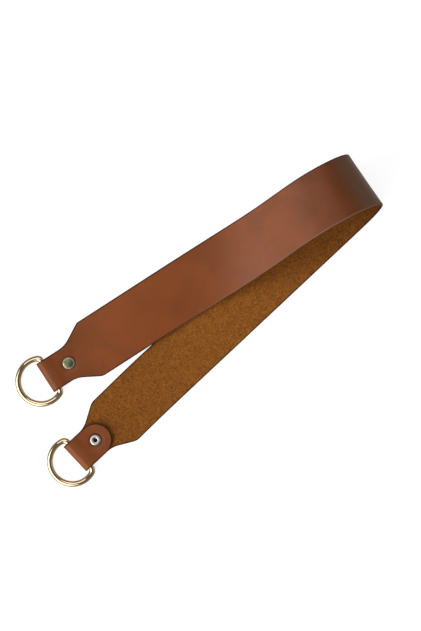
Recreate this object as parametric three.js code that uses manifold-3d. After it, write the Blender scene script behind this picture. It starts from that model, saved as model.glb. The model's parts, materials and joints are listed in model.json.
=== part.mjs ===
// Leather bag handle: one strip of leather folded back in a long bend, with a D ring riveted into each end.
// It lies on the ground. Millimetres, +Z up, +X from the rings to the bend.
// The origin is the bottom centre of the whole handle's box.

import * as THREE from 'three';
import { mergeVertices } from 'three/addons/utils/BufferGeometryUtils.js';
import Module from 'manifold-3d';

const wasm = await Module();
wasm.setup();

// ---- driving dimensions -------------------------------------------------------------------------

const GAP = 0.3;                      // between pieces, and between the two layers of a riveted end
const LEATHER = { width: 45, thickness: 2.4 };
// "end", "closing" and "rivet" are distances from the ring's bar along the strap. Over "closing" the
// upper layer comes down by "drop", and the one beneath comes up the rest of the way to meet it.
const TAB = { width: 25.4, end: 29.4, tip: 1.2, foldInnerRadius: 2.5, closing: 12, drop: 1.5, rivet: 16.6 };
const RING = { wire: 4, bowRadius: 17.5, bowCentre: 7.5, barHalfLength: 13 };
const CAP = { radius: 4.5, height: 1.4, rim: 0.35, postRadius: 1.2, postRecess: 0.8 };
const BACK = { radius: 4, height: 0.5, bevel: 0.25, tubeRadius: 1.9, bore: 1.5, tubeLength: 4.4 };
const RIVET_HOLE_RADIUS = 2.2;
const HALF_ANGLE = 5.17;              // degrees between each leg of the handle and the X axis

// Each end widens from its tab to the full strap in a hollow curve, then a straight shoulder.
// "start" is where the curve of that edge leaves the tab, from the ring's bar.
const SHOULDER = { curveRadius: 20, slope: 29.5 };
const NECKS = {
  lower: { left: 11.1, right: 16.7 },
  upper: { left: 15.6, right: 10.6 },
};

// The long bend: curl and twist in degrees per cm of leather, changing evenly from row to row.
// "at" is the distance from the lower ring's bar. Positive curl puts the flesh side inside the bend.
const LONG_BEND = [
  { at: 220, curl: 0, twist: 0 },
  { at: 250, curl: 0.66, twist: 0.14 },
  { at: 272, curl: 9.27, twist: 1.92 },
  { at: 292, curl: 19.2, twist: 3.12 },
  { at: 312, curl: 24.46, twist: 3.36 },
  { at: 332, curl: 22.76, twist: 2.35 },
  { at: 354, curl: 16.49, twist: -0.95 },
  { at: 380, curl: 6.505, twist: -1.837 },
  { at: 415, curl: -3.196, twist: 1.538 },
  { at: 455, curl: -4.38, twist: 3.256 },
  { at: 500, curl: -1.882, twist: -0.3 },
  { at: 540, curl: 0.268, twist: -0.924 },
  { at: 580, curl: 0, twist: 0 },
];
const UPPER_BAR = 618.1;              // the upper ring's bar, along the strap from the lower one
const SETTLING = { start: 27, length: 70 };   // where the lower leg comes down to the ground

// How finely the shapes are drawn.
const DRAWN = { bendStep: 4, neckSteps: 14, foldSteps: 12, closingSteps: 6, roundSteps: 10 };
const WIRE_SIDES = 16;
const BOW_STEPS = 41;                 // odd, so that one flat facet is centred on the top of the bow
const CORNER_STEPS = 6;
const RIVET_SIDES = 32;
const DOME_STEPS = 5;

// ---- worked-out dimensions ----------------------------------------------------------------------

const T = LEATHER.thickness;
const TAB_HALF = TAB.width / 2;
const FOLD_RADIUS = TAB.foldInnerRadius + T / 2;          // the middle of the leather round the bar
const LAYER_STEP = T + GAP;                               // from layer to layer at the rivet
const RISE = 2 * FOLD_RADIUS - LAYER_STEP - TAB.drop;     // how far the layer beneath comes up
const BOW_REACH = RING.bowCentre + RING.bowRadius;        // from the bar to the top of the bow
const UP = new THREE.Vector3(0, 0, 1);
const { degToRad, radToDeg, lerp } = THREE.MathUtils;

// Two equal and opposite arcs that move the leather sideways by "shift" over "run".
function sideStep(run, shift) {
  const angle = 2 * Math.atan2(shift, run);
  const radius = run / (2 * Math.sin(angle));
  return { angle: radToDeg(angle), length: radius * angle };
}

const CLOSING = sideStep(TAB.closing, TAB.drop);
const RISING = sideStep(TAB.closing, RISE);
const SETTLE = sideStep(SETTLING.length, RISE);

// ---- the strap's middle line --------------------------------------------------------------------

const evenMarks = (steps) => Array.from({ length: steps }, (_, i) => (i + 1) / steps);

// A stretch of leather of one length and one total bend in degrees, drawn at its marks (0 to 1].
function stretch(name, length, bend, marks) {
  const curl = (bend / length) * 10;
  return { name, length, curl: [curl, curl], twist: [0, 0], marks };
}

// The marks of a tab, flat from where its closing ends: the start of its round end, and round it.
function tabMarks() {
  const flat = TAB.end - TAB.closing;
  const roundStart = flat - TAB_HALF;
  const round = evenMarks(DRAWN.roundSteps).map((t) => TAB_HALF * Math.sin((t * Math.PI) / 2));
  return [roundStart, ...round.map((x) => roundStart + x)].map((x) => Math.min(x / flat, 1));
}

function strapStretches() {
  const closing = evenMarks(DRAWN.closingSteps);
  const neck = evenMarks(DRAWN.neckSteps);
  const foldLength = Math.PI * FOLD_RADIUS;
  const lowerTip = tabMarks().map((t) => 1 - t).reverse();
  const settled = SETTLING.start + SETTLING.length;
  const rows = [
    stretch('lower_tab', TAB.end - TAB.closing, 0, [...lowerTip.slice(1), 1]),
    stretch('lower_closing', CLOSING.length, -CLOSING.angle, closing),
    stretch('lower_closing', CLOSING.length, CLOSING.angle, closing),
    stretch('lower_fold', foldLength, 180, evenMarks(DRAWN.foldSteps)),
    stretch('lower_rising', RISING.length, RISING.angle, closing),
    stretch('lower_rising', RISING.length, -RISING.angle, closing),
    stretch('lower_neck', SETTLING.start - TAB.closing, 0, neck),
    stretch('lower_settling', SETTLE.length, -SETTLE.angle, neck),
    stretch('lower_settling', SETTLE.length, SETTLE.angle, closing),
    stretch('lower_leg', LONG_BEND[0].at - settled, 0, [1]),
  ];
  for (let i = 1; i < LONG_BEND.length; i++) {
    const [from, to] = [LONG_BEND[i - 1], LONG_BEND[i]];
    const length = to.at - from.at;
    const marks = evenMarks(Math.ceil(length / DRAWN.bendStep));
    rows.push({ name: 'bend', length, curl: [from.curl, to.curl], twist: [from.twist, to.twist], marks });
  }
  const bendEnd = LONG_BEND[LONG_BEND.length - 1].at;
  rows.push(
    stretch('upper_neck', UPPER_BAR - TAB.closing - bendEnd, 0, neck),
    stretch('upper_closing', CLOSING.length, -CLOSING.angle, closing),
    stretch('upper_closing', CLOSING.length, CLOSING.angle, closing),
    stretch('upper_fold', foldLength, 180, evenMarks(DRAWN.foldSteps)),
    stretch('upper_rising', RISING.length, RISING.angle, closing),
    stretch('upper_rising', RISING.length, -RISING.angle, closing),
    stretch('upper_tab', TAB.end - TAB.closing, 0, tabMarks()),
  );
  return rows;
}

// Walks along the strap from the lower tab's tip. Each frame has the row's name, the middle of the
// leather, the way along it, the way to its right edge, and the way out of its flesh side.
function walkStrap(rows) {
  const at = new THREE.Vector3(0, 0, T / 2 + RISE + LAYER_STEP);
  const along = new THREE.Vector3(-1, 0, 0).applyAxisAngle(UP, degToRad(HALF_ANGLE));
  const flesh = new THREE.Vector3(0, 0, -1);
  const right = new THREE.Vector3().crossVectors(along, flesh);
  const frame = (row) => ({ row, at: at.clone(), along: along.clone(), right: right.clone(), flesh: flesh.clone() });
  const frames = [frame(rows[0].name)];
  const turn = new THREE.Vector3();
  for (const row of rows) {
    let done = 0;
    for (const mark of row.marks) {
      const count = Math.ceil((mark - done) * row.length);
      const step = (mark - done) / count;
      for (let i = 0; i < count; i++) {
        const t = done + (i + 0.5) * step;
        const curl = degToRad(lerp(row.curl[0], row.curl[1], t)) / 10;
        const twist = degToRad(lerp(row.twist[0], row.twist[1], t)) / 10;
        turn.copy(right).multiplyScalar(curl).addScaledVector(along, -twist);
        const angle = turn.length() * step * row.length;
        turn.normalize();
        const chord = step * row.length * (angle > 0 ? Math.sin(angle / 2) / (angle / 2) : 1);
        at.addScaledVector(along.clone().applyAxisAngle(turn, angle / 2), chord);
        along.applyAxisAngle(turn, angle).normalize();
        right.applyAxisAngle(turn, angle).addScaledVector(along, -right.dot(along)).normalize();
        flesh.crossVectors(right, along);
      }
      done = mark;
      frames.push(frame(row.name));
    }
  }
  return frames;
}

// ---- the two riveted ends -----------------------------------------------------------------------

// An end has its ring's bar, the way in from the bar along the strap, the bar's direction, and the
// point on the middle of the strap's own layer where the rivet goes through.
function findEnds(frames) {
  const lower = frames.findLast((f) => f.row === 'lower_fold');
  const upper = frames.findLast((f) => f.row === 'upper_closing');
  const end = (f, inward, closed) => {
    const bar = f.at.clone().addScaledVector(f.flesh, FOLD_RADIUS);
    const rivet = bar.clone().addScaledVector(inward, TAB.rivet).addScaledVector(f.flesh, closed - FOLD_RADIUS);
    return { bar, inward, right: f.right, grain: f.flesh.clone().negate(), rivet };
  };
  return {
    lower: end(lower, lower.along.clone(), RISE),
    upper: end(upper, upper.along.clone().negate(), TAB.drop),
  };
}

// ---- the strap ----------------------------------------------------------------------------------

// A closed skin over sections that all have the same number of points.
function loft(sections, isLoop) {
  const n = sections[0].length;
  const index = [];
  const spans = isLoop ? sections.length : sections.length - 1;
  for (let i = 0; i < spans; i++) {
    const a = i * n;
    const b = ((i + 1) % sections.length) * n;
    for (let j = 0; j < n; j++) {
      const k = (j + 1) % n;
      index.push(a + j, b + k, a + k, a + j, b + j, b + k);
    }
  }
  if (!isLoop) {
    const last = (sections.length - 1) * n;
    for (let j = 1; j < n - 1; j++) {
      index.push(0, j, j + 1, last, last + j + 1, last + j);
    }
  }
  const geometry = new THREE.BufferGeometry().setFromPoints(sections.flat());
  geometry.setIndex(index);
  geometry.computeVertexNormals();
  return geometry;
}

// Half the strap's width at a distance from the ring's bar, for an edge whose curve starts at "start".
function neckHalfWidth(distance, start) {
  const slope = degToRad(SHOULDER.slope);
  const curveRun = SHOULDER.curveRadius * Math.sin(slope);
  const past = Math.max(distance - start, 0);
  const onCurve = Math.min(past, curveRun);
  const rise = SHOULDER.curveRadius - Math.sqrt(SHOULDER.curveRadius ** 2 - onCurve ** 2);
  return Math.min(TAB_HALF + rise + (past - onCurve) * Math.tan(slope), LEATHER.width / 2);
}

function tabHalfWidth(distance) {
  const past = Math.max(distance - (TAB.end - TAB_HALF), 0);
  return Math.max(Math.sqrt(Math.max(TAB_HALF ** 2 - past ** 2, 0)), TAB.tip / 2);
}

function strapSections(frames, ends) {
  return frames.map((f) => {
    const [name, part] = f.row.split('_');
    let [left, right] = [LEATHER.width / 2, LEATHER.width / 2];
    if (name in ends) {
      const distance = f.at.clone().sub(ends[name].bar).dot(ends[name].inward);
      const onTab = part === 'tab' || part === 'fold' || part === (name === 'lower' ? 'closing' : 'rising');
      left = onTab ? tabHalfWidth(distance) : neckHalfWidth(distance, NECKS[name].left);
      right = onTab ? tabHalfWidth(distance) : neckHalfWidth(distance, NECKS[name].right);
    }
    const corner = (side, up) => f.at.clone().addScaledVector(f.right, side).addScaledVector(f.flesh, up * T / 2);
    return [corner(-left, -1), corner(right, -1), corner(right, 1), corner(-left, 1)];
  });
}

function toManifold(geometry) {
  const bare = geometry.clone();
  bare.deleteAttribute('normal');
  bare.deleteAttribute('uv');
  const merged = mergeVertices(bare);
  const vertProperties = new Float32Array(merged.attributes.position.array);
  const triVerts = new Uint32Array(merged.index.array);
  return new wasm.Manifold(new wasm.Mesh({ numProp: 3, vertProperties, triVerts }));
}

function fromManifold(solid) {
  const { vertProperties, triVerts } = solid.getMesh();
  const geometry = new THREE.BufferGeometry();
  geometry.setAttribute('position', new THREE.BufferAttribute(vertProperties, 3));
  geometry.setIndex(new THREE.BufferAttribute(triVerts, 1));
  geometry.computeVertexNormals();
  return geometry;
}

function strapGeometry(frames, ends) {
  let solid = toManifold(loft(strapSections(frames, ends), false));
  for (const end of Object.values(ends)) {
    const drill = new THREE.CylinderGeometry(RIVET_HOLE_RADIUS, RIVET_HOLE_RADIUS, 6 * T, RIVET_SIDES);
    drill.rotateX(Math.PI / 2).translate(end.rivet.x, end.rivet.y, end.rivet.z);
    solid = solid.subtract(toManifold(drill));
  }
  return fromManifold(solid);
}

// ---- the hardware -------------------------------------------------------------------------------

// The ring lies in its local XY plane, with the middle of its bar at the origin and the bow towards +X.
function ringGeometry() {
  const { bowRadius, bowCentre, barHalfLength } = RING;
  const cornerRadius = (bowRadius ** 2 - bowCentre ** 2 - barHalfLength ** 2) / (2 * (bowRadius - bowCentre));
  const meet = Math.atan2(barHalfLength, cornerRadius - bowCentre);
  const arc = (x, y, radius, from, to, steps) =>
    new THREE.EllipseCurve(x, y, radius, radius, from, to, true).getPoints(steps);
  const line = [
    ...arc(cornerRadius, barHalfLength, cornerRadius, Math.PI, meet, CORNER_STEPS),
    ...arc(bowCentre, 0, bowRadius, meet, -meet, BOW_STEPS).slice(1),
    ...arc(cornerRadius, -barHalfLength, cornerRadius, -meet, -Math.PI, CORNER_STEPS).slice(1),
  ];
  const sections = line.map((p, i) => {
    const next = line[(i + 1) % line.length];
    const previous = line[(i + line.length - 1) % line.length];
    const along = next.clone().sub(p).normalize().add(p.clone().sub(previous).normalize()).normalize();
    return Array.from({ length: WIRE_SIDES }, (_, j) => {
      const angle = -((j + 0.5) / WIRE_SIDES) * 2 * Math.PI;
      const out = (RING.wire / 2) * Math.cos(angle);
      return new THREE.Vector3(p.x - along.y * out, p.y + along.x * out, (RING.wire / 2) * Math.sin(angle));
    });
  });
  return loft(sections, true);
}

// Rivet parts stand along local Y, with the middle of the strap's own layer at y = 0 and the cap above.
function capGeometry() {
  const underside = T / 2 + GAP;
  const postEnd = -(T / 2 + LAYER_STEP + GAP + BACK.height - CAP.postRecess);
  const rise = CAP.height - CAP.rim;
  const domeRadius = (CAP.radius ** 2 + rise ** 2) / (2 * rise);
  const domeAngle = Math.asin(CAP.radius / domeRadius);
  const dome = Array.from({ length: DOME_STEPS }, (_, i) => {
    const angle = domeAngle * (1 - i / DOME_STEPS);
    const y = underside + CAP.height - domeRadius * (1 - Math.cos(angle));
    return new THREE.Vector2(domeRadius * Math.sin(angle), y);
  });
  const profile = [
    new THREE.Vector2(0, postEnd),
    new THREE.Vector2(CAP.postRadius, postEnd),
    new THREE.Vector2(CAP.postRadius, underside),
    new THREE.Vector2(CAP.radius, underside),
    ...dome,
    new THREE.Vector2(0, underside + CAP.height),
  ];
  return new THREE.LatheGeometry(profile, RIVET_SIDES);
}

function backGeometry() {
  const inside = -(T / 2 + LAYER_STEP + GAP);
  const outside = inside - BACK.height;
  const profile = [
    new THREE.Vector2(BACK.bore, inside + BACK.tubeLength),
    new THREE.Vector2(BACK.bore, outside),
    new THREE.Vector2(BACK.radius - BACK.bevel, outside),
    new THREE.Vector2(BACK.radius, outside + BACK.bevel),
    new THREE.Vector2(BACK.radius, inside),
    new THREE.Vector2(BACK.tubeRadius, inside),
    new THREE.Vector2(BACK.tubeRadius, inside + BACK.tubeLength),
    new THREE.Vector2(BACK.bore, inside + BACK.tubeLength),
  ];
  return new THREE.LatheGeometry(profile, RIVET_SIDES);
}

// ---- materials and assembly ---------------------------------------------------------------------

const leather = new THREE.MeshStandardMaterial({ color: 0x7c4325, roughness: 0.55, metalness: 0 });
const paleGold = new THREE.MeshStandardMaterial({ color: 0xd9b97c, roughness: 0.18, metalness: 1 });
const antiqueBrass = new THREE.MeshStandardMaterial({ color: 0x6b6a4c, roughness: 0.35, metalness: 1 });
const nickel = new THREE.MeshStandardMaterial({ color: 0xd8cfc8, roughness: 0.22, metalness: 1 });

function namedMesh(name, geometry, material) {
  const mesh = new THREE.Mesh(geometry, material);
  mesh.name = name;
  return mesh;
}

// The ring hangs from its bar with its bow down on the ground.
function ringMesh(name, end) {
  const outward = end.inward.clone().negate();
  const mount = new THREE.Group();
  mount.position.copy(end.bar);
  mount.quaternion.setFromRotationMatrix(
    new THREE.Matrix4().makeBasis(outward, UP.clone().cross(outward), UP),
  );
  const mesh = namedMesh(`d_ring_${name}`, ringGeometry(), paleGold);
  mesh.rotation.y = Math.asin((end.bar.z - RING.wire / 2) / BOW_REACH);
  return mount.add(mesh);
}

function rivetMeshes(name, end) {
  const rivet = new THREE.Group();
  rivet.position.copy(end.rivet);
  rivet.quaternion.setFromUnitVectors(new THREE.Vector3(0, 1, 0), end.grain);
  return rivet.add(
    namedMesh(`rivet_cap_${name}`, capGeometry(), antiqueBrass),
    namedMesh(`rivet_back_${name}`, backGeometry(), nickel),
  );
}

const frames = walkStrap(strapStretches());
const ends = findEnds(frames);
const model = new THREE.Group();
model.add(namedMesh('strap', strapGeometry(frames, ends), leather));
for (const [name, end] of Object.entries(ends)) {
  model.add(ringMesh(name, end), rivetMeshes(name, end));
}

model.updateMatrixWorld(true);
const box = new THREE.Box3().setFromObject(model, true);
const middle = box.getCenter(new THREE.Vector3());
model.position.set(-middle.x, -middle.y, -box.min.z);

const handle = new THREE.Group().add(model);

export default handle;
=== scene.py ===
"""Leather bag handle: the looks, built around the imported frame.

Shapes are worked out in millimetres in the row's frame (+X from the rings to the bend, +Z up)
and turned into metres when a mesh is made. The strap is walked from the tip of its lower tab:
"along" is that way, "right" is across it and "flesh" is out of its suede side.
"""

import json
import math

import bmesh
import bpy
import numpy as np
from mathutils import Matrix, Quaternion, Vector


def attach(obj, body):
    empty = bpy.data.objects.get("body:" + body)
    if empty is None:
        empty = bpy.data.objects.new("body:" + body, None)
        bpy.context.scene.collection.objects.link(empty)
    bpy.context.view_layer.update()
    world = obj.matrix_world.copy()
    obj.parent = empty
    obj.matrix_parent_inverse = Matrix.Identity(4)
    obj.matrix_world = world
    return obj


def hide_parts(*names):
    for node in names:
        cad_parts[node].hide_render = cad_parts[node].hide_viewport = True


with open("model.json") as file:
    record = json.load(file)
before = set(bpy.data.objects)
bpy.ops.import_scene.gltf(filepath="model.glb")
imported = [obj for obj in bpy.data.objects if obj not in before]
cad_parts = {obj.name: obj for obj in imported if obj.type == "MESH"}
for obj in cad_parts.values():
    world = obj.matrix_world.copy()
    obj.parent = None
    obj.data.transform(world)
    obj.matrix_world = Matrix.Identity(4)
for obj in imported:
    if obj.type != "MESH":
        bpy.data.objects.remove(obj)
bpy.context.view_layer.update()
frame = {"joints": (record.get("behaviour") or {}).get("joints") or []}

MM = 0.001

# ---- sizes that the construction has too --------------------------------------------------------

GAP = 0.3                  # between parts that are pressed together
THICKNESS = 2.4
WIDTH = 45.0
TAB_WIDTH = 25.4
TAB_END = 29.4             # from the bar to the tab's tip
TAB_CLOSING = 12.0         # from the bar to where the two layers of an end meet
TAB_DROP = 1.5             # how far the upper layer of an end comes down to the rivet
RIVET_FROM_BAR = 16.6
FOLD_RADIUS = 2.5 + THICKNESS / 2                   # to the middle of the leather
LAYER_STEP = THICKNESS + GAP
RISE = 2 * FOLD_RADIUS - LAYER_STEP - TAB_DROP      # how far the layer beneath comes up to it
UPPER_BAR = 618.1          # from the lower bar, along the strap
SETTLING_START, SETTLING_LENGTH = 27.0, 70.0        # where the lower leg comes down to the table
SHOULDER_RADIUS, SHOULDER_SLOPE = 20.0, math.radians(29.5)
# From each bar to where the curve of each shoulder starts.
NECKS = {"lower": {"left": 11.1, "right": 16.7}, "upper": {"left": 15.6, "right": 10.6}}
HOLE_RADIUS = 2.2
BAR_HALF = 13.0            # half the straight part of a ring

# The long bend: distance from the lower bar in mm, then curl and twist in degrees per cm.
LONG_BEND = (
    (220, 0, 0),
    (250, 0.66, 0.14),
    (272, 9.27, 1.92),
    (292, 19.2, 3.12),
    (312, 24.46, 3.36),
    (332, 22.76, 2.35),
    (354, 16.49, -0.95),
    (380, 6.505, -1.837),
    (415, -3.196, 1.538),
    (455, -4.38, 3.256),
    (500, -1.882, -0.3),
    (540, 0.268, -0.924),
    (580, 0, 0),
)

# ---- sizes that only the looks have -------------------------------------------------------------

WIRE_RADIUS = 2.25
BOWS = {"lower": (17.2, 7.6), "upper": (17.4, 8.9)}     # radius, and the centre's distance from the bar
SLID = {"lower": 0.9, "upper": 0.0}             # how far each ring has slid along its bar
EDGE_ROUNDING = 0.55       # radius of the burnished corners
CORNER_SOFTENING = 1.3     # how far below the full width the shoulders' corners start to round off
TIP_LENGTH = 1.2           # the tab's round tip is stepped finely over this length
TIP_LIFT, TIP_CURLED = math.radians(5), 10.0    # the lower tab's tip has lifted off the strap a little
LOWER_ASIDE = 1.0          # the lower end lies this far to its right
ASIDE_FADE = 50.0, 120.0   # which fades out between these distances along the strap

# How far apart the strap's cross-sections are, in mm.
TIP_STEP, TAB_STEP, CLOSING_STEP, FOLD_STEP, NECK_STEP = 0.1, 0.6, 0.5, 0.35, 0.9
SETTLING_STEPS, LEG_STEP, BEND_STEP = (1.0, 2.0), 3.0, 2.0

BODY = "leather_and_rivets"
JOINTS = {j["name"]: j for j in frame["joints"]}


# ---- the strap's middle line --------------------------------------------------------------------


def side_step(run, shift):
    """Two equal, opposite arcs that move the leather sideways: the angle and length of each."""
    angle = 2 * math.atan2(shift, run)
    return angle, run / (2 * math.sin(angle)) * angle


def strap_rows():
    """Stretches from the lower tab's tip: name, length, curl at both ends, twist at both ends, step."""
    closing, closing_length = side_step(TAB_CLOSING, TAB_DROP)
    rising, rising_length = side_step(TAB_CLOSING, RISE)
    settle, settle_length = side_step(SETTLING_LENGTH, RISE)
    fold_length = math.pi * FOLD_RADIUS

    def arc(name, length, angle, step):
        return name, length, (angle / length,) * 2, (0, 0), step

    rows = [
        arc("lower_tab", TIP_LENGTH, -TIP_LIFT * TIP_LENGTH / TIP_CURLED, TIP_STEP),
        arc("lower_tab", TIP_CURLED - TIP_LENGTH, -TIP_LIFT * (1 - TIP_LENGTH / TIP_CURLED), TAB_STEP),
        arc("lower_tab", TAB_END - TAB_CLOSING - TIP_CURLED, 0, TAB_STEP),
        arc("lower_closing", closing_length, -closing, CLOSING_STEP),
        arc("lower_closing", closing_length, closing, CLOSING_STEP),
        arc("lower_fold", fold_length, math.pi, FOLD_STEP),
        arc("lower_rising", rising_length, rising, CLOSING_STEP),
        arc("lower_rising", rising_length, -rising, CLOSING_STEP),
        arc("lower_neck", SETTLING_START - TAB_CLOSING, 0, NECK_STEP),
        arc("lower_settling", settle_length, -settle, SETTLING_STEPS[0]),
        arc("lower_settling", settle_length, settle, SETTLING_STEPS[1]),
        arc("lower_leg", LONG_BEND[0][0] - SETTLING_START - SETTLING_LENGTH, 0, LEG_STEP),
    ]
    per_cm = math.radians(1) / 10
    for (s0, curl0, twist0), (s1, curl1, twist1) in zip(LONG_BEND, LONG_BEND[1:]):
        curls = curl0 * per_cm, curl1 * per_cm
        rows.append(("bend", s1 - s0, curls, (twist0 * per_cm, twist1 * per_cm), BEND_STEP))
    rows += [
        arc("upper_neck", UPPER_BAR - TAB_CLOSING - LONG_BEND[-1][0], 0, NECK_STEP),
        arc("upper_closing", closing_length, -closing, CLOSING_STEP),
        arc("upper_closing", closing_length, closing, CLOSING_STEP),
        arc("upper_fold", fold_length, math.pi, FOLD_STEP),
        arc("upper_rising", rising_length, rising, CLOSING_STEP),
        arc("upper_rising", rising_length, -rising, CLOSING_STEP),
        arc("upper_tab", TAB_END - TAB_CLOSING - TIP_LENGTH, 0, TAB_STEP),
        arc("upper_tab", TIP_LENGTH, 0, TIP_STEP),
    ]
    return rows


def lower_aside(gone):
    """How far the strap lies to its right of the walked line, at a distance from the lower tab's tip."""
    start, end = ASIDE_FADE
    t = min(max((gone - start) / (end - start), 0), 1)
    return LOWER_ASIDE * (1 - t * t * (3 - 2 * t))


def walk_strap():
    """Frames along the middle of the leather, in mm: row name, distance gone, place and directions."""
    joint = JOINTS["ring_lower_swing"]
    hinge = Vector(joint["axis"])
    heading = math.atan2(-hinge.x, hinge.y)
    along = -Vector((math.cos(heading), math.sin(heading), 0))
    flesh = Vector((0, 0, -1))
    right = along.cross(flesh)
    lifted = Quaternion(right, TIP_LIFT)
    along, flesh = lifted @ along, lifted @ flesh
    at = Vector((0, 0, 0))
    frames = [("lower_tab", 0.0, at.copy(), along.copy(), right.copy(), flesh.copy())]
    gone = 0.0
    for name, length, curls, twists, step in strap_rows():
        count = math.ceil(length / step)
        part = length / count
        for i in range(count):
            t = (i + 0.5) / count
            curl = curls[0] + (curls[1] - curls[0]) * t
            twist = twists[0] + (twists[1] - twists[0]) * t
            turn = right * curl - along * twist
            angle = turn.length * part
            chord = part * (math.sin(angle / 2) / (angle / 2) if angle > 0 else 1)
            axis = turn.normalized() if angle > 0 else right
            at = at + (Quaternion(axis, angle / 2) @ along) * chord
            spin = Quaternion(axis, angle)
            along = (spin @ along).normalized()
            right = spin @ right
            right = (right - along * right.dot(along)).normalized()
            flesh = right.cross(along)
            gone += part
            frames.append((name, gone, at.copy(), along.copy(), right.copy(), flesh.copy()))
    fold_end = [f for f in frames if f[0] == "lower_fold"][-1]
    bar = Vector(joint["pos_m"]) / MM
    shift = bar - (fold_end[2] + fold_end[5] * FOLD_RADIUS)
    return [(f[0], f[1], f[2] + shift + f[4] * lower_aside(f[1]), *f[3:]) for f in frames]


def find_ends(frames):
    """For each end: its bar, the way in from it, the grain side's way, and the rivet's place."""
    ends = {}
    marks = (("lower", "lower_fold", 1, RISE), ("upper", "upper_closing", -1, TAB_DROP))
    for name, row, way_in, closed in marks:
        _, _, at, along, _, flesh = [f for f in frames if f[0] == row][-1]
        bar = at + flesh * FOLD_RADIUS
        inward = along * way_in
        rivet = bar + inward * RIVET_FROM_BAR + flesh * (closed - FOLD_RADIUS)
        ends[name] = {"bar": bar, "inward": inward, "grain": -flesh, "rivet": rivet}
    return ends


# ---- the strap's outline ------------------------------------------------------------------------


def neck_half_width(distance, start):
    """Half the width on one side of a neck and its shoulder, at a distance from the bar."""
    curve_run = SHOULDER_RADIUS * math.sin(SHOULDER_SLOPE)
    past = max(distance - start, 0)
    on_curve = min(past, curve_run)
    rise = SHOULDER_RADIUS - math.sqrt(SHOULDER_RADIUS**2 - on_curve**2)
    rise += (past - on_curve) * math.tan(SHOULDER_SLOPE)
    over = TAB_WIDTH / 2 + rise - (WIDTH / 2 - CORNER_SOFTENING)
    if over <= 0:
        return TAB_WIDTH / 2 + rise
    over = min(over, 2 * CORNER_SOFTENING)
    return WIDTH / 2 - CORNER_SOFTENING + over - over**2 / (4 * CORNER_SOFTENING)


def tab_half_width(distance):
    """Half the width of a tab, whose tip is a half circle."""
    past = max(distance - (TAB_END - TAB_WIDTH / 2), 0)
    return math.sqrt(max((TAB_WIDTH / 2) ** 2 - past**2, 0))


def half_widths(f, ends):
    """Half the width to the left and to the right edge, and the distance from the bar, at a frame."""
    end, _, part = f[0].partition("_")
    if end not in ends:
        return WIDTH / 2, WIDTH / 2, None
    distance = (f[2] - ends[end]["bar"]).dot(ends[end]["inward"])
    on_tab = part in ("tab", "fold") or f[0] in ("lower_closing", "upper_rising")
    if on_tab:
        half = tab_half_width(distance)
        return half, half, distance
    return (*(neck_half_width(distance, NECKS[end][side]) for side in ("left", "right")), None)


# ---- meshes -------------------------------------------------------------------------------------


def new_object(name, points, faces, materials, face_materials=None):
    """A mesh object from points in mm. Faces all look outwards."""
    mesh = bpy.data.meshes.new(name)
    mesh.from_pydata([tuple(Vector(p) * MM) for p in points], [], faces)
    for m in materials:
        mesh.materials.append(m)
    if face_materials is not None:
        mesh.polygons.foreach_set("material_index", face_materials)
    mesh.polygons.foreach_set("use_smooth", [True] * len(mesh.polygons))
    made = bmesh.new()
    made.from_mesh(mesh)
    bmesh.ops.recalc_face_normals(made, faces=made.faces)
    made.to_mesh(mesh)
    made.free()
    mesh.update()
    obj = bpy.data.objects.new(name, mesh)
    bpy.context.scene.collection.objects.link(obj)
    return obj


def set_attribute(obj, name, values):
    """One number for each point of the mesh, for its material to read."""
    obj.data.attributes.new(name, "FLOAT", "POINT").data.foreach_set("value", values)


def loop_faces(n_sections, n_around, closed):
    """Quads between neighbouring sections of n_around points."""
    spans = n_sections if closed else n_sections - 1
    faces = []
    for i in range(spans):
        a, b = i * n_around, ((i + 1) % n_sections) * n_around
        for j in range(n_around):
            k = (j + 1) % n_around
            faces.append((a + j, a + k, b + k, b + j))
    return faces


# ---- the strap ----------------------------------------------------------------------------------

EDGE_INSETS = (0, 0.07, 0.22, 0.45, 0.8, 1.3, 2.1, 3.2, 4.6)    # columns close to each edge, in mm
MIDDLE_COLUMNS = 11
TIP_HALF = 0.6             # half the least width of a tab's tip
DIMPLE_DEPTH, DIMPLE_INNER, DIMPLE_OUTER = 0.45, 4.4, 8.0
LEVEL_ENOUGH = 0.9         # only leather that faces up or down this much is pressed in by a rivet
HOLE_SIDES = 48
GRAIN_FACE, FLESH_FACE, CUT_FACE = range(3)


def column_places(left, right):
    """Distances across the strap from its middle, left edge to right edge, and each one's inset."""
    squeeze_left = min(1, left / (TAB_WIDTH / 2))
    squeeze_right = min(1, right / (TAB_WIDTH / 2))
    start = -left + EDGE_INSETS[-1] * squeeze_left
    end = right - EDGE_INSETS[-1] * squeeze_right
    middle = [start + (end - start) * (i + 1) / (MIDDLE_COLUMNS + 1) for i in range(MIDDLE_COLUMNS)]
    lefts = [-left + x * squeeze_left for x in EDGE_INSETS]
    rights = [right - x * squeeze_right for x in reversed(EDGE_INSETS)]
    return lefts + middle + rights


def rounding_drop(edge_distance):
    """How far the surface falls below its full height near a rounded edge."""
    into = max(EDGE_ROUNDING - edge_distance, 0)
    return EDGE_ROUNDING - math.sqrt(max(EDGE_ROUNDING**2 - into**2, 0))


def dimple(place, grain, ends):
    """How far the grain surface is pressed in by a rivet near this place."""
    for end in ends.values():
        from_rivet = place - end["rivet"]
        if abs(from_rivet.z) > 3 * THICKNESS:
            continue
        radius = math.hypot(from_rivet.x, from_rivet.y)
        if radius < DIMPLE_OUTER and abs(grain.z) > LEVEL_ENOUGH:
            t = (radius - DIMPLE_INNER) / (DIMPLE_OUTER - DIMPLE_INNER)
            t = min(max(t, 0), 1)
            return DIMPLE_DEPTH * (0.5 + 0.5 * math.cos(math.pi * t))
    return 0.0


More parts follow.
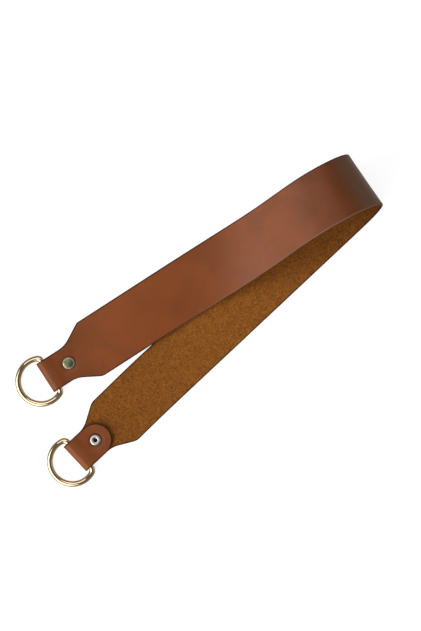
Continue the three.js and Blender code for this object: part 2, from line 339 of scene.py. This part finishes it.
def make_strap(frames, ends, materials):
    """One closed skin: grain face, flesh face and rounded edges, for the rivet holes to be cut through
    later.
    """
    points, edge_mm, level, pressed, uv, sections = [], [], [], [], [], []
    widths = [half_widths(f, ends) for f in frames]
    for i, (f, (left, right, tab_distance)) in enumerate(zip(frames, widths)):
        _, gone, at, along, side, flesh = f
        left, right = max(left, TIP_HALF), max(right, TIP_HALF)
        before, after = widths[max(i - 1, 0)], widths[min(i + 1, len(frames) - 1)]
        run = frames[min(i + 1, len(frames) - 1)][1] - frames[max(i - 1, 0)][1]
        slopes = [(after[k] - before[k]) / run for k in (0, 1)]
        columns = column_places(left, right)
        section = []

        def add(v, up, inset, sunk=0.0):
            points.append(at + side * v + flesh * (up + sunk))
            edge_mm.append(inset)
            level.append(up / (THICKNESS / 2))
            pressed.append(sunk / DIMPLE_DEPTH)
            uv.append((v, gone))
            section.append(len(points) - 1)

        def inset_of(v):
            if tab_distance is not None and tab_distance > TAB_END - TAB_WIDTH / 2:
                return TAB_WIDTH / 2 - math.hypot(tab_distance - (TAB_END - TAB_WIDTH / 2), v)
            to_left = (v + left) / math.hypot(1, slopes[0])
            to_right = (right - v) / math.hypot(1, slopes[1])
            return min(to_left, to_right)

        for v in columns:
            inset = max(inset_of(v), 0)
            add(v, rounding_drop(inset) - THICKNESS / 2, inset, dimple(at + side * v, -flesh, ends))
        wall = THICKNESS / 2 - EDGE_ROUNDING
        for up in (-wall / 3, wall / 3):
            add(right, up, 0)
        for v in reversed(columns):
            inset = max(inset_of(v), 0)
            add(v, THICKNESS / 2 - rounding_drop(inset), inset)
        for up in (wall / 3, -wall / 3):
            add(-left, up, 0)
        sections.append(section)

    around = len(sections[0])
    n = len(columns)
    faces = loop_faces(len(sections), around, closed=False)
    faces += [tuple(sections[0]), tuple(reversed(sections[-1]))]
    kinds = []
    for i in range(len(faces)):
        column = i % around
        if i >= (len(sections) - 1) * around or n - 1 <= column < n + 2 or column >= 2 * n + 1:
            kinds.append(CUT_FACE)
        else:
            kinds.append(GRAIN_FACE if column < n - 1 else FLESH_FACE)
    strap = new_object("leather_strap", points, faces, materials, kinds)
    for name, values in (("edge_mm", edge_mm), ("level", level), ("pressed", pressed)):
        set_attribute(strap, name, values)
    mesh = strap.data
    layer = mesh.uv_layers.new(name="strap_mm")
    corners = np.zeros(len(mesh.loops), np.int32)
    mesh.loops.foreach_get("vertex_index", corners)
    layer.data.foreach_set("uv", np.array(uv, np.float32)[corners].ravel())
    return strap


def cut_rivet_holes(strap, ends):
    """Cuts a round hole through both layers at each rivet."""
    angles = [2 * math.pi * i / HOLE_SIDES for i in range(HOLE_SIDES)]
    reach = 3 * THICKNESS
    for name, end in ends.items():
        points = [
            end["rivet"] + Vector((HOLE_RADIUS * math.cos(a), HOLE_RADIUS * math.sin(a), z))
            for z in (-reach, reach) for a in angles
        ]
        faces = loop_faces(2, HOLE_SIDES, closed=False)
        faces += [tuple(reversed(range(HOLE_SIDES))), tuple(range(HOLE_SIDES, 2 * HOLE_SIDES))]
        drill = new_object("drill_" + name, points, faces, [strap.data.materials[CUT_FACE]])
        cut = strap.modifiers.new("hole", "BOOLEAN")
        cut.operation, cut.object, cut.solver = "DIFFERENCE", drill, "EXACT"
        bpy.context.view_layer.objects.active = strap
        bpy.ops.object.modifier_apply(modifier=cut.name)
        bpy.data.objects.remove(drill)


# ---- the rings and rivets -----------------------------------------------------------------------

WIRE_SIDES = 36
BAR_STEPS, CORNER_STEPS, BOW_STEPS = 12, 14, 120


def make_ring(name, material):
    """The D ring: round wire along a straight bar, two tight corners and a round bow."""
    joint = JOINTS[f"ring_{name}_swing"]
    bar = Vector(joint["pos_m"]) / MM
    side = -Vector(joint["axis"])
    level_out = side.cross(Vector((0, 0, 1)))
    if level_out.x > 0:
        level_out = -level_out
    bow, bow_centre = BOWS[name]
    reach = bow_centre + bow
    tilt = math.asin((bar.z - WIRE_RADIUS) / reach)
    out = level_out * math.cos(tilt) - Vector((0, 0, 1)) * math.sin(tilt)
    normal = out.cross(side)
    corner = (bow**2 - bow_centre**2 - BAR_HALF**2) / (2 * (bow - bow_centre))
    meet = math.atan2(BAR_HALF, corner - bow_centre)

    line = [(0.0, -BAR_HALF + 2 * BAR_HALF * i / BAR_STEPS, math.pi) for i in range(BAR_STEPS)]

    def arc(x, y, radius, start, stop, steps):
        for i in range(steps):
            a = start + (stop - start) * i / steps
            line.append((x + radius * math.cos(a), y + radius * math.sin(a), a))

    arc(corner, BAR_HALF, corner, math.pi, meet, CORNER_STEPS)
    arc(bow_centre, 0, bow, meet, -meet, BOW_STEPS)
    arc(corner, -BAR_HALF, corner, -meet, -math.pi, CORNER_STEPS)
    points = []
    for x, y, a in line:
        centre = bar + out * x + side * (y + SLID[name])
        away = out * math.cos(a) + side * math.sin(a)
        for j in range(WIRE_SIDES):
            b = 2 * math.pi * j / WIRE_SIDES
            points.append(centre + (away * math.cos(b) + normal * math.sin(b)) * WIRE_RADIUS)
    faces = loop_faces(len(line), WIRE_SIDES, closed=True)
    return new_object(f"ring_{name}", points, faces, [material])


LATHE_SIDES = 64


def lathe(name, profile, centre, up, materials, bands):
    """Turns a profile of (radius, height) points about the line through centre along up.

    A profile that starts on the axis ends on it, and any other closes on itself. Each stretch
    between two points has its own material, whose number is in bands.
    """
    up = up.normalized()
    across = up.orthogonal().normalized()
    third = up.cross(across)
    points, rings = [], []
    for radius, height in profile:
        if radius == 0:
            points.append(centre + up * height)
            rings.append([len(points) - 1] * LATHE_SIDES)
            continue
        ring = []
        for j in range(LATHE_SIDES):
            a = 2 * math.pi * j / LATHE_SIDES
            points.append(centre + (across * math.cos(a) + third * math.sin(a)) * radius + up * height)
            ring.append(len(points) - 1)
        rings.append(ring)
    closed = profile[0][0] != 0
    faces, kinds = [], []
    spans = len(rings) if closed else len(rings) - 1
    for i in range(spans):
        a, b = rings[i], rings[(i + 1) % len(rings)]
        for j in range(LATHE_SIDES):
            k = (j + 1) % LATHE_SIDES
            corners = list(dict.fromkeys((a[j], a[k], b[k], b[j])))
            if len(corners) > 2:
                faces.append(tuple(corners))
                kinds.append(bands[i])
    turned = new_object(name, points, faces, materials, kinds)
    set_attribute(turned, "from_axis", [(p - centre).cross(up).length for p in points])
    return turned


def arc_profile(x, y, radius, start, stop, steps):
    """Points round part of a circle in a lathe profile, angles in degrees."""
    turns = [math.radians(start + (stop - start) * i / steps) for i in range(steps + 1)]
    return [(x + radius * math.cos(a), y + radius * math.sin(a)) for a in turns]


CAP_RADIUS, CAP_TOP, CAP_SUNK = 4.5, 1.7, 0.55
CAP_RIM = 0.8              # height of the dome's foot
CAP_ROLL, CAP_ROLL_DROP = 0.45, 0.4             # the rolled edge's radius, and its centre below the rim
CAP_FLAT, CAP_LIP = 0.5, 0.25       # how far in from the edge the underside and the dome end
POST_RADIUS, POST_DEPTH = 1.2, 3.8

BACK_RADIUS, BACK_TOP, BACK_BORE = 4.0, 0.8, 1.6
BACK_STEPS = 16
BACK_FULLNESS = 0.8        # below 1 makes the flange's roll fuller than half an ellipse
BACK_LIP, BACK_SUNK = 0.2, 0.4
TUBE_RADIUS, TUBE_DEPTH, TUBE_NECK = 1.95, 3.6, 0.45

# The second material is near black, painted in for the shade down the rivet's hole.
PLATED, PAINTED_DARK = 0, 1        # a rivet's two materials


def make_cap(name, end, materials):
    """The domed cap, its edge rolled under and pressed into the grain, on its post."""
    base = THICKNESS / 2
    dome_rise = CAP_TOP - CAP_RIM
    dome_radius = (CAP_RADIUS**2 + dome_rise**2) / (2 * dome_rise)
    dome_angle = math.degrees(math.asin((CAP_RADIUS - CAP_LIP) / dome_radius))
    profile = [
        (0, base - POST_DEPTH),
        (POST_RADIUS, base - POST_DEPTH),
        (POST_RADIUS, base - CAP_SUNK),
        (CAP_RADIUS - CAP_FLAT, base - CAP_SUNK),
    ]
    profile += arc_profile(CAP_RADIUS - CAP_ROLL, base + CAP_RIM - CAP_ROLL_DROP, CAP_ROLL, -90, 65, 10)
    dome_centre = base + CAP_TOP - dome_radius
    profile += arc_profile(0, dome_centre, dome_radius, 90 - dome_angle, 90, 14)[:-1]
    profile.append((0, base + CAP_TOP))
    bands = [PAINTED_DARK, PAINTED_DARK] + [PLATED] * (len(profile) - 3)
    return lathe(f"rivet_dome_{name}", profile, end["rivet"], end["grain"], materials, bands)


def make_back(name, end, materials):
    """The tubular back: a flange rolled over all round, and the bore down the tube painted dark for its
    shade.
    """
    base = THICKNESS / 2 + LAYER_STEP
    middle, half = (BACK_RADIUS + BACK_BORE) / 2, (BACK_RADIUS - BACK_BORE) / 2
    profile = [(BACK_BORE, base - TUBE_DEPTH)]
    for i in range(BACK_STEPS + 1):
        turn = math.pi * i / BACK_STEPS
        height = BACK_TOP * math.sin(turn) ** BACK_FULLNESS
        profile.append((middle - half * math.cos(turn), base + height))
    profile += [
        (BACK_RADIUS - BACK_LIP, base - BACK_SUNK),
        (TUBE_RADIUS, base - TUBE_NECK),
        (TUBE_RADIUS, base - TUBE_DEPTH),
    ]
    bands = [PAINTED_DARK] + [PLATED] * (len(profile) - 1)
    return lathe(f"rivet_tube_{name}", profile, end["rivet"], -end["grain"], materials, bands)


# ---- materials ----------------------------------------------------------------------------------

# Base colours, linear. Where a name has two, noise mixes them.
GRAIN = (0.236, 0.060, 0.0125), (0.30, 0.0755, 0.0155)
GRAIN_DULL, GRAIN_WARM = (0.22, 0.058, 0.013), (0.328, 0.073, 0.013)
# A grey sheen painted on the far side of the bend, and shade painted round a rivet's cap (partly burnish).
GRAIN_PAINTED_SHEEN, GRAIN_PRESSED_AND_SHADE = (0.18, 0.083, 0.039), (0.03, 0.011, 0.006)
GRAIN_BURNT, GRAIN_PALE_EDGE = (0.068, 0.021, 0.008), (0.27, 0.125, 0.068)
FLESH = (0.26, 0.079, 0.011), (0.45, 0.146, 0.022)
FLESH_TUFTS, FLESH_FIBRES = (0.10, 0.030, 0.005), (0.80, 0.31, 0.06)
FLESH_BURNT_AND_SHADOW, FLESH_SHEEN = (0.022, 0.0085, 0.004), (0.75, 0.42, 0.2, 1)
CUT = (0.12, 0.050, 0.021), (0.22, 0.10, 0.046)
CUT_BURNT, CUT_PALE_EDGE = (0.03, 0.012, 0.006), (0.29, 0.14, 0.078)
GOLD = (0.82, 0.63, 0.385), (0.75, 0.57, 0.345)
PATINA, BRASS_RUBBED = ((0.105, 0.14, 0.07), (0.19, 0.225, 0.12)), (0.72, 0.62, 0.43)
NICKEL = (0.86, 0.79, 0.755), (0.74, 0.665, 0.63)
# Near black painted into the rivets' posts and bores for the shade down the hole.
BORE_PAINTED_SHADE = (0.02, 0.018, 0.016), (0.05, 0.045, 0.04)

# Light and shade painted into the leather's colour along the strap: the grain a little darker at the lower
# tip, darker over the bend and at the upper neck, and a little lighter on the upper leg and at the upper
# fold; the flesh darker towards the lower end, lighter along the lower leg and much darker inside the
# bend. Each stage is where it starts and ends, in mm from the lower tab's tip, and the gain before and
# after it. The gains multiply.
GRAIN_PAINTED_SHADING = (
    (5.0, 45.0, 0.94, 1.0),
    (285.0, 325.0, 1.0, 0.74),
    (407.0, 440.0, 1.0, 1.35),
    (535.0, 580.0, 1.0, 1.08),
    (612.0, 640.0, 1.0, 0.75),
    (650.0, 662.0, 1.0, 1.12),
)
FLESH_PAINTED_SHADING = (
    (20.0, 120.0, 0.64, 0.84),
    (120.0, 200.0, 1.0, 1.1),
    (302.0, 342.0, 1.0, 0.42),
)
# Where the painted grey sheen on the far side of the bend, and the paler right edge of the upper leg, fade
# in and fade out.
PAINTED_SHEEN_SPAN = (285.0, 325.0), (367.0, 398.0)
PALE_EDGE_SPAN = (300.0, 370.0), (500.0, 600.0)


class Finish:
    """A material being made: adds nodes and joins them to its Principled shader."""

    def __init__(self, name, **values):
        self.material = bpy.data.materials.new(name)
        self.material.use_nodes = True
        self.tree = self.material.node_tree
        self.shader = self.tree.nodes["Principled BSDF"]
        for socket, value in values.items():
            self.shader.inputs[socket.replace("_", " ")].default_value = value

    def put(self, socket, value):
        if isinstance(value, bpy.types.NodeSocket):
            self.tree.links.new(value, socket)
        else:
            socket.default_value = value

    def node(self, kind, *values, **settings):
        made = self.tree.nodes.new("ShaderNode" + kind)
        for name, value in settings.items():
            setattr(made, name, value)
        for socket, value in values:
            self.put(made.inputs[socket], value)
        return made

    def flat_places(self):
        """Place on the flat cut leather: across and along, in mm."""
        return self.node("UVMap", uv_map="strap_mm").outputs["UV"]

    def across_along(self):
        """Distance to the right of the strap's middle and along the strap, in mm."""
        split = self.node("SeparateXYZ", (0, self.flat_places()))
        return split.outputs["X"], split.outputs["Y"]

    def solid_places(self):
        """Place in space, in mm."""
        place = self.node("TexCoord").outputs["Object"]
        return self.node("VectorMath", (0, place), ("Scale", 1 / MM), operation="SCALE").outputs[0]

    def attribute(self, name):
        return self.node("Attribute", attribute_name=name).outputs["Fac"]

    def noise(self, places, size, detail=3, roughness=0.5, distortion=0.0):
        """Cloudy noise from 0 to 1 whose patches are about size mm wide."""
        made = self.node("TexNoise", ("Vector", places), ("Scale", 1 / size), ("Detail", detail),
                         ("Roughness", roughness), ("Distortion", distortion))
        return made.outputs["Fac"]

    def cells(self, places, size):
        """Distance from the edges of irregular cells about size mm wide."""
        made = self.node("TexVoronoi", ("Vector", places), ("Scale", 1 / size), feature="DISTANCE_TO_EDGE")
        return made.outputs["Distance"]

    def stretch(self, places, factors):
        """Places scaled by axis: a factor below 1 draws the pattern out that way."""
        return self.node("VectorMath", (0, places), (1, factors), operation="MULTIPLY").outputs[0]

    def fit(self, value, low, high, to_low=0.0, to_high=1.0):
        """Maps low to high smoothly onto to_low to to_high."""
        made = self.node("MapRange", ("Value", value), ("From Min", low), ("From Max", high),
                         ("To Min", to_low), ("To Max", to_high), interpolation_type="SMOOTHSTEP")
        return made.outputs["Result"]

    def maths(self, operation, *values):
        return self.node("Math", *enumerate(values), operation=operation).outputs[0]

    def blend(self, factor, a, b):
        """Colour a where factor is 0 and colour b where it is 1."""
        made = self.node("Mix", ("Factor", factor), data_type="RGBA")
        colours = [i for i in made.inputs if i.type == "RGBA"]
        for socket, value in zip(colours, (a, b)):
            self.put(socket, value if isinstance(value, bpy.types.NodeSocket) else (*value, 1))
        return [o for o in made.outputs if o.type == "RGBA"][0]

    def paint_shading_along(self, colour, stages):
        """Paints light and shade into a colour along the strap, darkening or lightening it by stages like
        those of the grain's table.
        """
        along = self.across_along()[1]
        for start, end, before, after in stages:
            gain = self.fit(along, start, end, before, after)
            colour = self.node("VectorMath", (0, colour), ("Scale", gain), operation="SCALE").outputs[0]
        return colour

    def bump(self, height, depth, under=None):
        """Bumps of the given depth in mm, on top of another bump."""
        made = self.node("Bump", ("Height", height), ("Strength", 1.0), ("Distance", depth * MM))
        if under is not None:
            self.put(made.inputs["Normal"], under)
        return made.outputs["Normal"]

    def finish(self, colour, roughness=None, normal=None):
        for socket, value in (("Base Color", colour), ("Roughness", roughness), ("Normal", normal)):
            if value is not None:
                self.put(self.shader.inputs[socket], value)
        return self.material


def between(m, fade_in, fade_out):
    """1 along a stretch of the strap and 0 elsewhere."""
    along = m.across_along()[1]
    return m.maths("MULTIPLY", m.fit(along, *fade_in), m.fit(along, *fade_out, 1.0, 0.0))


def pale_edge(m):
    """1 along the right edge of the upper leg, whose corner is paler, and 0 elsewhere."""
    right_side = m.fit(m.across_along()[0], 0.0, 2.0)
    return m.maths("MULTIPLY", right_side, between(m, *PALE_EDGE_SPAN))


def grain_leather():
    """The smooth, waxed side: warm chestnut with slow clouds of tone, pores and a burnished edge, with
    light, shade and a grey sheen painted in along the strap and shade painted round each rivet.
    """
    m = Finish("leather_grain", Specular_IOR_Level=0.27)
    at = m.flat_places()
    clouds = m.noise(at, 26, detail=4, roughness=0.55, distortion=0.6)
    fine = m.noise(at, 1.4, detail=4, roughness=0.6)
    warm = m.noise(m.stretch(at, (1, 0.6, 1)), 9, detail=2)
    tone = m.blend(m.fit(clouds, 0.3, 0.7), *GRAIN)
    tone = m.blend(m.fit(fine, 0.3, 0.72, 0.0, 0.45), tone, GRAIN_DULL)
    tone = m.blend(m.fit(warm, 0.55, 0.75, 0.0, 0.5), tone, GRAIN_WARM)
    # Light and shade painted into the grain along the strap.
    tone = m.paint_shading_along(tone, GRAIN_PAINTED_SHADING)
    # Painted grey sheen where the far side of the bend turns away from the light.
    tone = m.blend(between(m, *PAINTED_SHEEN_SPAN), tone, GRAIN_PAINTED_SHEEN)
    ragged = m.maths("MULTIPLY_ADD", m.noise(at, 2.2), 0.5, 0.5)
    burnt = m.fit(m.maths("SUBTRACT", m.attribute("edge_mm"), ragged), -0.1, 0.5, 1.0, 0.0)
    # The burnished corner is paler along the upper leg's right edge.
    tone = m.blend(burnt, tone, m.blend(pale_edge(m), GRAIN_BURNT, GRAIN_PALE_EDGE))
    # Painted shade round the foot of each rivet's cap, in the dimple it presses, and partly leather
    # burnished dark by the cap.
    tone = m.blend(m.fit(m.attribute("pressed"), 0.7, 1.0, 0.0, 0.65), tone, GRAIN_PRESSED_AND_SHADE)

    pores = m.fit(m.cells(m.stretch(at, (1, 0.8, 1)), 0.55), 0.0, 0.16)
    creases = m.noise(m.stretch(at, (0.45, 1, 1)), 0.9, detail=5, roughness=0.62, distortion=0.4)
    normal = m.bump(m.noise(at, 14, detail=2), 0.12)
    normal = m.bump(creases, 0.03, normal)
    normal = m.bump(pores, 0.008, normal)
    roughness = m.fit(m.noise(at, 5, detail=5, roughness=0.6), 0.25, 0.75, 0.36, 0.46)
    roughness = m.maths("ADD", roughness, m.fit(burnt, 0.0, 0.6, 0.0, 0.5))
    return m.finish(tone, roughness, normal)


def flesh_leather():
    """The raw suede side: short matted fibres, brushed in patches, with light and shade painted in along
    the strap and a dark edge that is partly painted shadow.
    """
    m = Finish("leather_flesh", Specular_IOR_Level=0.08, Sheen_Weight=0.2, Sheen_Roughness=0.5,
               Sheen_Tint=FLESH_SHEEN, Roughness=0.9)
    at = m.flat_places()
    patches = m.noise(at, 4.5, detail=5, roughness=0.65, distortion=1.2)
    tufts = m.noise(m.stretch(at, (1, 0.75, 1)), 1.0, detail=6, roughness=0.75, distortion=1.5)
    fibres = m.noise(m.stretch(at, (1, 0.6, 1)), 0.62, detail=4, roughness=0.75, distortion=2.0)
    tone = m.blend(m.fit(patches, 0.32, 0.68), *FLESH)
    tone = m.blend(m.fit(tufts, 0.41, 0.54, 0.9, 0.0), tone, FLESH_TUFTS)
    tone = m.blend(m.fit(fibres, 0.46, 0.66, 0.0, 0.75), tone, FLESH_FIBRES)
    # Light and shade painted into the flesh along the strap, darkest inside the bend.
    tone = m.paint_shading_along(tone, FLESH_PAINTED_SHADING)
    # A dark band along the flesh side's edge: burnish, and partly a painted shadow for the thin dark
    # outline at the strap's edge.
    tone = m.blend(m.fit(m.attribute("edge_mm"), 0.4, 1.2, 1.0, 0.0), tone, FLESH_BURNT_AND_SHADOW)
    normal = m.bump(patches, 0.25)
    normal = m.bump(tufts, 0.35, normal)
    normal = m.bump(fibres, 0.09, normal)
    return m.finish(tone, normal=normal)


def cut_edge():
    """The cut through the leather: burnished dark at its corners, paler fibre in its middle."""
    m = Finish("leather_edge", Specular_IOR_Level=0.03, Roughness=0.75)
    at = m.solid_places()
    fibre = m.noise(m.stretch(at, (1, 1, 2.5)), 0.5, detail=4, roughness=0.7)
    core = m.blend(m.fit(fibre, 0.3, 0.7), *CUT)
    from_middle = m.maths("ABSOLUTE", m.attribute("level"))
    tone = m.blend(m.fit(from_middle, 0.2, 0.7), core, CUT_BURNT)
    # Paler along the upper leg's right edge.
    tone = m.blend(m.maths("MULTIPLY", pale_edge(m), 0.8), tone, CUT_PALE_EDGE)
    return m.finish(tone, normal=m.bump(fibre, 0.06))


def ring_gold():
    """Polished pale gold plate, a little worn and very slightly wavy."""
    m = Finish("ring_gold", Metallic=1.0)
    at = m.solid_places()
    worn = m.noise(at, 3.5, detail=5, roughness=0.65)
    tone = m.blend(m.fit(worn, 0.45, 0.75, 0.0, 0.8), *GOLD)
    roughness = m.fit(worn, 0.3, 0.75, 0.05, 0.09)
    return m.finish(tone, roughness, m.bump(m.noise(at, 6.0, detail=1), 0.01))


def antique_brass():
    """Brass darkened green in its middle, rubbed bright at its rim."""
    m = Finish("rivet_brass", Metallic=0.6)
    at = m.solid_places()
    patina = m.noise(at, 1.3, detail=5, roughness=0.65)
    green = m.blend(m.fit(patina, 0.35, 0.65), *PATINA)
    rub = m.maths("ADD", m.attribute("from_axis"), m.fit(patina, 0.3, 0.7, -0.5, 0.5))
    tone = m.blend(m.fit(rub, 3.3, 4.2), green, BRASS_RUBBED)
    roughness = m.fit(patina, 0.3, 0.7, 0.26, 0.42)
    return m.finish(tone, roughness, m.bump(patina, 0.02))


def nickel():
    """Pressed nickel plate, slightly dull."""
    m = Finish("rivet_nickel", Metallic=0.85)
    at = m.solid_places()
    dull = m.noise(at, 1.1, detail=5, roughness=0.6)
    tone = m.blend(m.fit(dull, 0.35, 0.7), *NICKEL)
    return m.finish(tone, m.fit(dull, 0.3, 0.7, 0.26, 0.4), m.bump(dull, 0.006))


def bore_painted_shade():
    """The post and the inside of the rivet's tube, painted near black for the shade down the hole."""
    m = Finish("rivet_bore_painted_shade", Metallic=0.6)
    rough = m.noise(m.solid_places(), 0.8, detail=3)
    tone = m.blend(m.fit(rough, 0.3, 0.7), *BORE_PAINTED_SHADE)
    return m.finish(tone, m.fit(rough, 0.3, 0.7, 0.5, 0.7), m.bump(rough, 0.02))


# ---- the object ---------------------------------------------------------------------------------

strap_frames = walk_strap()
strap_ends = find_ends(strap_frames)
flat_area = sum(
    sum(half_widths(b, strap_ends)[:2]) * (b[1] - a[1]) for a, b in zip(strap_frames, strap_frames[1:])
)
leather = [grain_leather(), flesh_leather(), cut_edge()]
strap = make_strap(strap_frames, strap_ends, leather)
cut_rivet_holes(strap, strap_ends)
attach(strap, BODY)
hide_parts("strap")

# bore is the near black painted for the shade in the rivets' holes.
gold, brass, plate, bore = ring_gold(), antique_brass(), nickel(), bore_painted_shade()
for end_name, end in strap_ends.items():
    ring = make_ring(end_name, gold)
    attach(ring, f"ring_{end_name}")
    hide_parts(f"d_ring_{end_name}")
    cap = make_cap(end_name, end, [brass, bore])
    back = make_back(end_name, end, [plate, bore])
    for piece, node, slot in ((cap, "rivet_cap_", "rivet_brass"), (back, "rivet_back_", "rivet_nickel")):
        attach(piece, BODY)
        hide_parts(node + end_name)


# ---- the studio ---------------------------------------------------------------------------------

CAMERA_PLACE = (0.006995, -0.009122, 2.5)
CAMERA_TURN = math.radians(-38.0136)
CAMERA_LENS = 186.98
IMAGE_LEFT = math.radians(142.0)    # the picture's left as an azimuth in the row's frame
FLOOR_HALF = 4.0


def add_camera():
    camera = bpy.data.objects.new("camera", bpy.data.cameras.new("camera"))
    camera.location = CAMERA_PLACE
    camera.rotation_euler = (0, 0, CAMERA_TURN)
    camera.data.lens = CAMERA_LENS
    bpy.context.scene.collection.objects.link(camera)
    bpy.context.scene.camera = camera


def add_floor():
    mesh = bpy.data.meshes.new("floor")
    corners = [(x * FLOOR_HALF, y * FLOOR_HALF, 0) for x, y in ((-1, -1), (1, -1), (1, 1), (-1, 1))]
    mesh.from_pydata(corners, [], [(0, 1, 2, 3)])
    m = Finish("floor_white", Base_Color=(0.35, 0.35, 0.35, 1), Roughness=0.9, Specular_IOR_Level=0.1,
               Emission_Color=(1, 1, 1, 1), Emission_Strength=0.86)
    mesh.materials.append(m.material)
    floor = bpy.data.objects.new("floor", mesh)
    floor.visible_diffuse = floor.visible_glossy = False
    bpy.context.scene.collection.objects.link(floor)


def add_softbox(name, from_left, elevation, distance, size, power):
    """A rectangular light aimed at the middle. from_left turns clockwise from the picture's left."""
    azimuth = IMAGE_LEFT - math.radians(from_left)
    up = math.radians(elevation)
    level = math.cos(up)
    way = Vector((math.cos(azimuth) * level, math.sin(azimuth) * level, math.sin(up)))
    place = way * distance
    data = bpy.data.lights.new(name, "AREA")
    data.shape = "RECTANGLE"
    data.size, data.size_y = size
    data.energy = power
    light = bpy.data.objects.new(name, data)
    light.location = place
    light.rotation_euler = place.to_track_quat("Z", "Y").to_euler()
    bpy.context.scene.collection.objects.link(light)


# The room's brightness by height: -1 is straight down, 0 the horizon and 1 overhead. It also lights the
# handle from below, in place of the floor, whose glow would be far too bright.
ROOM = ((-1.0, 0.62), (-0.5, 0.5), (-0.08, 0.26), (0.0, 0.12), (0.3, 0.2), (0.6, 0.2), (0.9, 0.12))


def add_world():
    world = bpy.data.worlds.new("studio")
    world.use_nodes = True
    tree = world.node_tree
    background = tree.nodes["Background"]
    background.inputs["Color"].default_value = (1, 1, 1, 1)
    place = tree.nodes.new("ShaderNodeTexCoord")
    height = tree.nodes.new("ShaderNodeSeparateXYZ")
    scaled = tree.nodes.new("ShaderNodeMapRange")
    scaled.inputs["From Min"].default_value = -1
    ramp = tree.nodes.new("ShaderNodeValToRGB")
    stops = ramp.color_ramp.elements
    while len(stops) < len(ROOM):
        stops.new(0.5)
    for stop, (z, grey) in zip(stops, ROOM):
        stop.position = (z + 1) / 2
        stop.color = (grey, grey, grey, 1)
    tree.links.new(place.outputs["Generated"], height.inputs[0])
    tree.links.new(height.outputs["Z"], scaled.inputs["Value"])
    tree.links.new(scaled.outputs["Result"], ramp.inputs["Fac"])
    tree.links.new(ramp.outputs["Color"], background.inputs["Strength"])
    bpy.context.scene.world = world


bpy.context.scene.view_settings.view_transform = "Standard"
add_camera()
add_floor()
add_world()
add_softbox("key", from_left=-38, elevation=31, distance=1.3, size=(1.76, 1.2), power=18.6)
add_softbox("far", from_left=165, elevation=14, distance=1.2, size=(1.6, 0.5), power=2.0)
add_softbox("top", from_left=52, elevation=65, distance=1.3, size=(1.0, 0.7), power=3.7)
